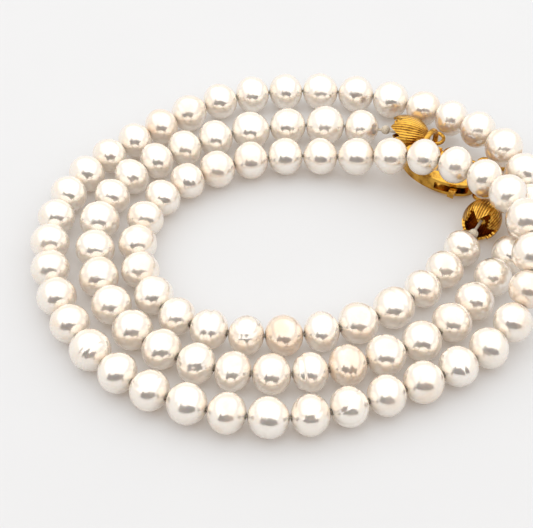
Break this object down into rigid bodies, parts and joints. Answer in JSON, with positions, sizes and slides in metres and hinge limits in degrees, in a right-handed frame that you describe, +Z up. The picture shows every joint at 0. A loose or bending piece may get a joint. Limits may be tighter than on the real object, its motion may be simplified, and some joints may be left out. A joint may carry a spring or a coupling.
{
  "type": "pearl necklace",
  "caption": "Long strand of off-round pearls laid in three turns, with petal end caps, a lobster clasp and an extension chain with a ball drop.",
  "frame": {"origin": "On the resting surface, under the middle of the whole footprint of the coil and its chain", "axes": "+X from the coil towards the end of the extension chain, +Y from the front of the coil towards its clasp side, +Z up from the resting surface"},
  "size_m": [0.0843, 0.066, 0.0109],
  "materials": {
    "pearl": "pearl lustre over a cream body",
    "thread": "twisted silk",
    "gold": "polished gold plate"
  },
  "bodies": {
    "strand": {"thread": "thread", "pearls_01": "pearl", "pearls_02": "pearl", "pearls_03": "pearl", "pearls_04": "pearl", "pearls_05": "pearl", "pearls_06": "pearl", "pearls_07": "pearl", "pearls_08": "pearl", "pearls_09": "pearl", "pearls_10": "pearl", "pearls_11": "pearl", "pearls_12": "pearl", "pearls_13": "pearl", "pearls_14": "pearl", "pearls_15": "pearl", "pearls_16": "pearl", "pearls_17": "pearl", "pearls_18": "pearl", "pearls_19": "pearl", "pearls_20": "pearl", "pearls_21": "pearl", "pearls_22": "pearl", "pearls_23": "pearl", "pearls_24": "pearl", "pearls_25": "pearl", "pearls_26": "pearl", "pearls_27": "pearl", "pearls_28": "pearl", "pearls_29": "pearl", "pearls_30": "pearl", "pearls_31": "pearl", "knot_start": "thread", "knot_end": "thread", "petal_cap_start": "gold", "petal_cap_end": "gold", "crimp_start": "gold", "crimp_end": "gold"},
    "start_ring": {"start_ring": "gold"},
    "clasp": {"clasp_body": "gold", "clasp_pin": "gold", "clasp_spring": "gold"},
    "clasp_lever": {"clasp_lever": "gold"},
    "end_ring": {"end_ring": "gold"},
    "link_01": {"link_01": "gold"},
    "link_02": {"link_02": "gold"},
    "link_03": {"link_03": "gold"},
    "link_04": {"link_04": "gold"},
    "link_05": {"link_05": "gold"},
    "link_06": {"link_06": "gold"},
    "link_07": {"link_07": "gold"},
    "link_08": {"link_08": "gold"},
    "link_09": {"link_09": "gold"},
    "link_10": {"link_10": "gold"},
    "link_11": {"link_11": "gold"},
    "link_12": {"link_12": "gold"},
    "chain_drop": {"chain_drop": "gold"}
  },
  "joints": [
    {"name": "start_ring_swing", "type": "hinge", "parent": "strand", "child": "start_ring", "pos_m": [0.02079, 0.00733, 0.00275], "axis": [0, 0, 1], "range_deg": [-0.5, 0.5]},
    {"name": "clasp_swing", "type": "hinge", "parent": "start_ring", "child": "clasp", "pos_m": [0.01976, 0.01093, 0.00135], "axis": [0, 0, 1], "range_deg": [-1, 2]},
    {"name": "lever_open", "type": "hinge", "parent": "clasp", "child": "clasp_lever", "pos_m": [0.01696, 0.01286, 0.00168], "axis": [0.0835, -0.0473, 0.9954], "range_deg": [0, 25], "stiffness_Nm_per_rad": 0.01},
    {"name": "end_ring_swing", "type": "hinge", "parent": "strand", "child": "end_ring", "pos_m": [0.01367, 0.02003, 0.00275], "axis": [0, 0, 1], "range_deg": [-0.5, 0.5]},
    {"name": "link_01_swing", "type": "hinge", "parent": "end_ring", "child": "link_01", "pos_m": [0.01334, 0.01948, 0.00122], "axis": [0, 0, 1], "range_deg": [-1, 1]},
    {"name": "link_02_swing", "type": "hinge", "parent": "link_01", "child": "link_02", "pos_m": [0.01515, 0.01842, 0.00096], "axis": [0, 0, 1], "range_deg": [-1, 1]},
    {"name": "link_03_swing", "type": "hinge", "parent": "link_02", "child": "link_03", "pos_m": [0.01758, 0.01772, 0.00096], "axis": [0, 0, 1], "range_deg": [-1, 1]},
    {"name": "link_04_swing", "type": "hinge", "parent": "link_03", "child": "link_04", "pos_m": [0.01977, 0.01646, 0.00096], "axis": [0, 0, 1], "range_deg": [-1, 1]},
    {"name": "link_05_swing", "type": "hinge", "parent": "link_04", "child": "link_05", "pos_m": [0.02212, 0.01551, 0.00096], "axis": [0, 0, 1], "range_deg": [-1, 1]},
    {"name": "link_06_swing", "type": "hinge", "parent": "link_05", "child": "link_06", "pos_m": [0.02465, 0.01551, 0.00096], "axis": [0, 0, 1], "range_deg": [-1, 1]},
    {"name": "link_07_swing", "type": "hinge", "parent": "link_06", "child": "link_07", "pos_m": [0.027, 0.01646, 0.00096], "axis": [0, 0, 1], "range_deg": [-8, 8]},
    {"name": "link_08_swing", "type": "hinge", "parent": "link_07", "child": "link_08", "pos_m": [0.02947, 0.01698, 0.00096], "axis": [0, 0, 1], "range_deg": [-8, 8]},
    {"name": "link_09_swing", "type": "hinge", "parent": "link_08", "child": "link_09", "pos_m": [0.03196, 0.01654, 0.00096], "axis": [0, 0, 1], "range_deg": [-8, 8]},
    {"name": "link_10_swing", "type": "hinge", "parent": "link_09", "child": "link_10", "pos_m": [0.0342, 0.01536, 0.00096], "axis": [0, 0, 1], "range_deg": [-8, 8]},
    {"name": "link_11_swing", "type": "hinge", "parent": "link_10", "child": "link_11", "pos_m": [0.03613, 0.01373, 0.00096], "axis": [0, 0, 1], "range_deg": [-8, 8]},
    {"name": "link_12_swing", "type": "hinge", "parent": "link_11", "child": "link_12", "pos_m": [0.03776, 0.01179, 0.00096], "axis": [0, 0, 1], "range_deg": [-8, 8]},
    {"name": "drop_swing", "type": "hinge", "parent": "link_12", "child": "chain_drop", "pos_m": [0.0391, 0.00965, 0.00096], "axis": [0, 0, 1], "range_deg": [-8, 8]}
  ]
}
